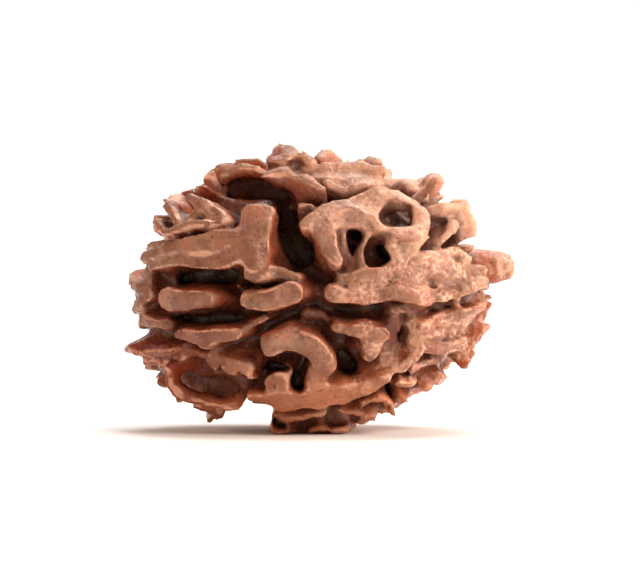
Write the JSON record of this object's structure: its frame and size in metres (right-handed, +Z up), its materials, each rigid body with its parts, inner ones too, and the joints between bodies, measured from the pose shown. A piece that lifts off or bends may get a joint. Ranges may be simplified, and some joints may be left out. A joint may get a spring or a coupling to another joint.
{
  "type": "rudraksha bead",
  "caption": "Egg-shaped seed stone lying on its side, its hard shell grown into deep knobbly ridges, pits and seams, with a narrow natural canal along its length.",
  "frame": {"origin": "on the table, in the middle of the small flat spot that the stone rests on, under the middle of its length", "axes": "+X along the stone and its canal, towards the end with the lug; -Y out of the near face; +Z up from the table"},
  "size_m": [0.0242, 0.0174, 0.0179],
  "materials": {
    "rudraksha_stone": "hard woody seed shell, red-brown with paler rubbed ridge tops, slightly polished"
  },
  "bodies": {
    "root": {"rudraksha_stone": "rudraksha_stone"}
  },
  "joints": []
}
